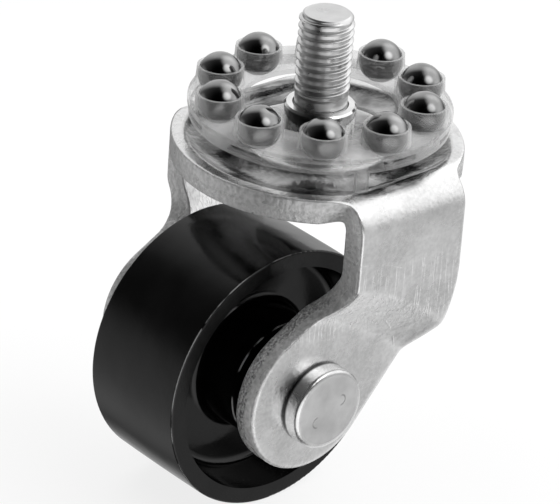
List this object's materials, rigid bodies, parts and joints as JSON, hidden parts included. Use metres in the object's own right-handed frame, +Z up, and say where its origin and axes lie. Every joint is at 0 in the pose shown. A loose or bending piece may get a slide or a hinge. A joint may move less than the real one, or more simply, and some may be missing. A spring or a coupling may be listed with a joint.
{
  "type": "swivel caster",
  "caption": "Swivel caster with a threaded stem, an open ring of steel balls, a pressed steel fork and a black moulded wheel on a riveted axle.",
  "frame": {"origin": "on the swivel axis, at the top face of the bush, where the part screwed onto the stem seats", "axes": "+Z up along the stem, +X the way the caster travels (the wheel trails at -X), Y along the axle"},
  "size_m": [0.0667, 0.0534, 0.0889],
  "materials": {
    "zinc_sheet": "bright zinc plate on pressed sheet",
    "zinc_bolt": "bright zinc plate",
    "turned_steel": "turned, polished",
    "zinc_rivet": "satin zinc plate",
    "ball_steel": "polished bearing steel",
    "cage_plastic": "natural translucent",
    "wheel_plastic": "gloss black",
    "washer_plastic": "plain"
  },
  "bodies": {
    "stem": {"stem_bolt": "zinc_bolt", "stem_bush": "turned_steel", "seat_washer": "zinc_bolt"},
    "fork": {"fork": "zinc_sheet", "axle_sleeve": "turned_steel", "axle_rivet": "zinc_rivet", "thrust_washer_left": "washer_plastic", "thrust_washer_right": "washer_plastic"},
    "ball_ring": {"ball_cage": "cage_plastic", "ball_01": "ball_steel", "ball_02": "ball_steel", "ball_03": "ball_steel", "ball_04": "ball_steel", "ball_05": "ball_steel", "ball_06": "ball_steel", "ball_07": "ball_steel", "ball_08": "ball_steel", "ball_09": "ball_steel", "ball_10": "ball_steel"},
    "wheel": {"wheel": "wheel_plastic"}
  },
  "joints": [
    {"name": "swivel", "type": "hinge", "parent": "stem", "child": "fork", "pos_m": [0, 0, 0], "axis": [0, 0, 1], "continuous": true},
    {"name": "cage_turn", "type": "hinge", "parent": "stem", "child": "ball_ring", "pos_m": [0, 0, 0], "axis": [0, 0, 1], "continuous": true},
    {"name": "wheel_spin", "type": "hinge", "parent": "fork", "child": "wheel", "pos_m": [-0.0153, 0, -0.0464], "axis": [0, 1, 0], "continuous": true}
  ],
  "couplings": [
    {"joint": "cage_turn", "follows": "swivel", "ratio": 0.5}
  ]
}
